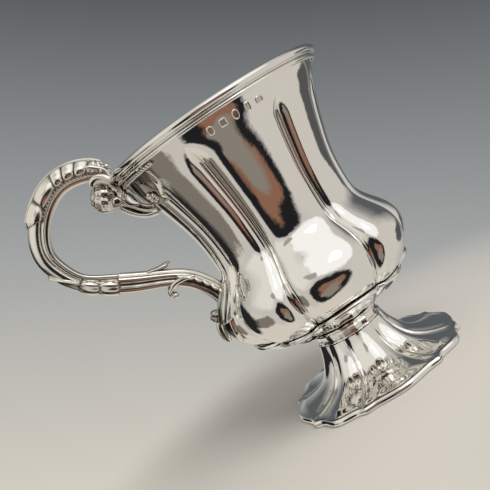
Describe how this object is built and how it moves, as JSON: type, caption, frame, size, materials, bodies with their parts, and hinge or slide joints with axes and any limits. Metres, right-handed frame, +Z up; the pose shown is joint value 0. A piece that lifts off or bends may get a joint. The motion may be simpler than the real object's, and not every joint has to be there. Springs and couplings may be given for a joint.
{
  "type": "christening mug",
  "caption": "Footed silver mug with a lobed baluster bowl, moulded rim, scalloped calyx, faceted collar, spreading lobed foot and cast leaf-and-scroll handle.",
  "frame": {"origin": "under the centre of the whole outline, handle included, on the plane the foot stands on", "axes": "+Z up along the bowl's axis, -X towards the handle, whose scrolls lie in the plane y = 0; the bowl's axis is at x = +19.8 mm"},
  "size_m": [0.1324, 0.0928, 0.1349],
  "materials": {
    "polished_silver": "mirror-polished sterling silver with faint handling marks",
    "cast_silver": "polished cast sterling silver with brown tarnish left in the hollows"
  },
  "bodies": {
    "root": {"bowl": "polished_silver", "rim_moulding": "polished_silver", "calyx": "polished_silver", "stem_rings": "polished_silver", "collar": "polished_silver", "foot": "polished_silver", "foot_wire": "polished_silver", "upper_scroll": "cast_silver", "lower_scroll": "cast_silver", "arch_leaf": "cast_silver", "husk_leaf": "cast_silver", "rim_clasp": "cast_silver", "bud": "cast_silver", "bud_curl": "cast_silver", "bud_leaf_near": "cast_silver", "bud_leaf_far": "cast_silver", "bracket_strut": "cast_silver", "bracket_arm_near": "cast_silver", "bracket_arm_far": "cast_silver", "stem_spur": "cast_silver", "stem_curl": "cast_silver", "shoulder_leaf_near": "cast_silver", "shoulder_leaf_far": "cast_silver", "terminal_knob": "cast_silver", "terminal_tail": "cast_silver"}
  },
  "joints": []
}
